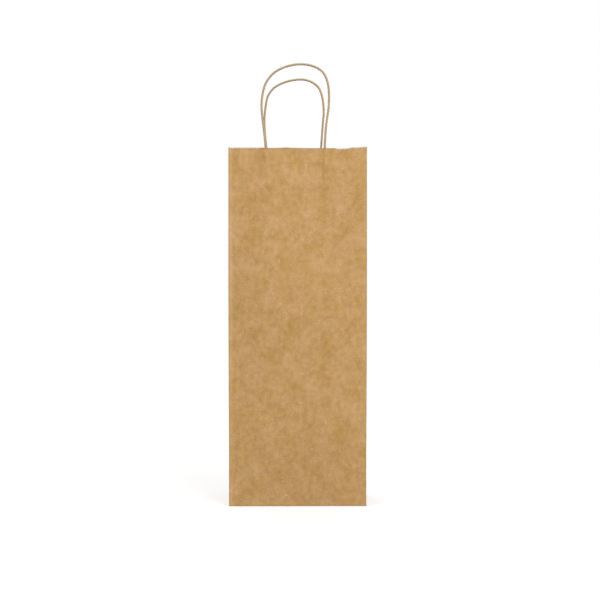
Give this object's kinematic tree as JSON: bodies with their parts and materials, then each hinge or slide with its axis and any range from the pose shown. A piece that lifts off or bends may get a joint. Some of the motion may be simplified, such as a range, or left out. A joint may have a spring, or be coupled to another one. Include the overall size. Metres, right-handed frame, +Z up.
{
  "type": "wine gift bag",
  "caption": "Tall kraft paper wine gift bag with a square block bottom, folding side gussets, a pinked top edge and twisted paper cord handles held by glued patches.",
  "frame": {"origin": "middle of the underside of the bottom, on the surface that the bag stands on", "axes": "+Z up towards the mouth and handles, -Y out of the front panel, X across the width"},
  "size_m": [0.15, 0.08, 0.4791],
  "materials": {
    "outer_kraft": "matt brown ribbed kraft, outer face",
    "inner_kraft": "matt brown kraft, inner layers",
    "patch_kraft": "matt brown kraft strip, pasted",
    "cord_kraft": "twisted paper cord, matt"
  },
  "bodies": {
    "front": {"front_panel": "outer_kraft", "front_handle_patch": "patch_kraft", "front_handle_cover": "patch_kraft", "front_handle_left_leg": "cord_kraft", "front_handle_right_leg": "cord_kraft"},
    "front_handle": {"front_handle_loop": "cord_kraft"},
    "left_gusset_fore": {"left_gusset_front": "outer_kraft"},
    "left_gusset_aft": {"left_gusset_back": "outer_kraft", "left_gusset_back_band": "outer_kraft"},
    "back": {"back_panel": "outer_kraft", "back_panel_band": "outer_kraft", "side_seam_lap": "inner_kraft", "side_seam_lap_band": "inner_kraft", "back_handle_patch": "patch_kraft", "back_handle_cover": "patch_kraft", "back_handle_left_leg": "cord_kraft", "back_handle_right_leg": "cord_kraft"},
    "back_handle": {"back_handle_loop": "cord_kraft"},
    "right_gusset_fore": {"right_gusset_front": "outer_kraft"},
    "right_gusset_aft": {"right_gusset_back": "outer_kraft", "right_gusset_back_band": "outer_kraft"},
    "bottom": {"bottom_front_flap": "outer_kraft", "bottom_back_flap": "outer_kraft", "bottom_left_tuck": "inner_kraft", "bottom_right_tuck": "inner_kraft"},
    "back_foot": {"back_panel_foot": "outer_kraft"},
    "left_foot": {"left_gusset_foot": "outer_kraft"},
    "right_foot": {"right_gusset_foot": "outer_kraft"},
    "left_rear_corner": {"left_gusset_rear_corner": "outer_kraft"},
    "right_rear_corner": {"right_gusset_rear_corner": "outer_kraft"}
  },
  "joints": [
    {"name": "fold_flat", "type": "hinge", "parent": "front", "child": "left_gusset_fore", "pos_m": [-0.0748, -0.0398, 0.2], "axis": [0, 0, -1], "range_deg": [0, 75.5], "deforming": ["left_gusset_back_band", "right_gusset_back_band", "back_panel_band", "side_seam_lap_band", "back_panel_foot", "left_gusset_foot", "right_gusset_foot", "left_gusset_rear_corner", "right_gusset_rear_corner"]},
    {"name": "left_gusset_centre_fold", "type": "hinge", "parent": "left_gusset_fore", "child": "left_gusset_aft", "pos_m": [-0.07015, -0.00027, 0.2], "axis": [0, 0, 1], "range_deg": [0, 151]},
    {"name": "back_left_fold", "type": "hinge", "parent": "left_gusset_aft", "child": "back", "pos_m": [-0.0748, 0.03925, 0.2], "axis": [0, 0, -1], "range_deg": [0, 75.5]},
    {"name": "right_gusset_front_fold", "type": "hinge", "parent": "front", "child": "right_gusset_fore", "pos_m": [0.0748, -0.0398, 0.2], "axis": [0, 0, 1], "range_deg": [0, 75.5]},
    {"name": "right_gusset_centre_fold", "type": "hinge", "parent": "right_gusset_fore", "child": "right_gusset_aft", "pos_m": [0.07015, -0.00027, 0.2], "axis": [0, 0, -1], "range_deg": [0, 151]},
    {"name": "bottom_fold", "type": "hinge", "parent": "front", "child": "bottom", "pos_m": [0, -0.0398, 0.0015], "axis": [1, 0, 0], "range_deg": [0, 64.2]},
    {"name": "back_foot_fold", "type": "hinge", "parent": "bottom", "child": "back_foot", "pos_m": [0, 0.0398, 0.0015], "axis": [1, 0, 0], "range_deg": [0, 81.01]},
    {"name": "left_foot_fold", "type": "hinge", "parent": "bottom", "child": "left_foot", "pos_m": [-0.0748, 0, 0.0015], "axis": [0, 1, 0], "range_deg": [0, 72]},
    {"name": "right_foot_fold", "type": "hinge", "parent": "bottom", "child": "right_foot", "pos_m": [0.0748, 0, 0.0015], "axis": [0, -1, 0], "range_deg": [0, 72]},
    {"name": "left_corner_fold", "type": "hinge", "parent": "back_foot", "child": "left_rear_corner", "pos_m": [-0.0748, 0.0398, 0.02], "axis": [0, 0, 1], "range_deg": [0, 86]},
    {"name": "right_corner_fold", "type": "hinge", "parent": "back_foot", "child": "right_rear_corner", "pos_m": [0.0748, 0.0398, 0.02], "axis": [0, 0, -1], "range_deg": [0, 86]},
    {"name": "front_handle_swing", "type": "hinge", "parent": "front", "child": "front_handle", "pos_m": [-0.0027, -0.039, 0.3884], "axis": [1, 0, 0], "range_deg": [0, 95]},
    {"name": "back_handle_swing", "type": "hinge", "parent": "back", "child": "back_handle", "pos_m": [-0.00475, 0.03846, 0.3884], "axis": [-1, 0, 0], "range_deg": [0, 95]}
  ],
  "couplings": [
    {"joint": "left_gusset_centre_fold", "follows": "fold_flat", "ratio": 2},
    {"joint": "back_left_fold", "follows": "fold_flat", "ratio": 1},
    {"joint": "right_gusset_front_fold", "follows": "fold_flat", "ratio": 1},
    {"joint": "right_gusset_centre_fold", "follows": "fold_flat", "ratio": 2},
    {"joint": "bottom_fold", "follows": "fold_flat", "ratio": 0.85033},
    {"joint": "back_foot_fold", "follows": "fold_flat", "ratio": 1.0729},
    {"joint": "left_foot_fold", "follows": "fold_flat", "ratio": 0.95364},
    {"joint": "right_foot_fold", "follows": "fold_flat", "ratio": 0.95364},
    {"joint": "left_corner_fold", "follows": "fold_flat", "ratio": 1.1391},
    {"joint": "right_corner_fold", "follows": "fold_flat", "ratio": 1.1391}
  ]
}
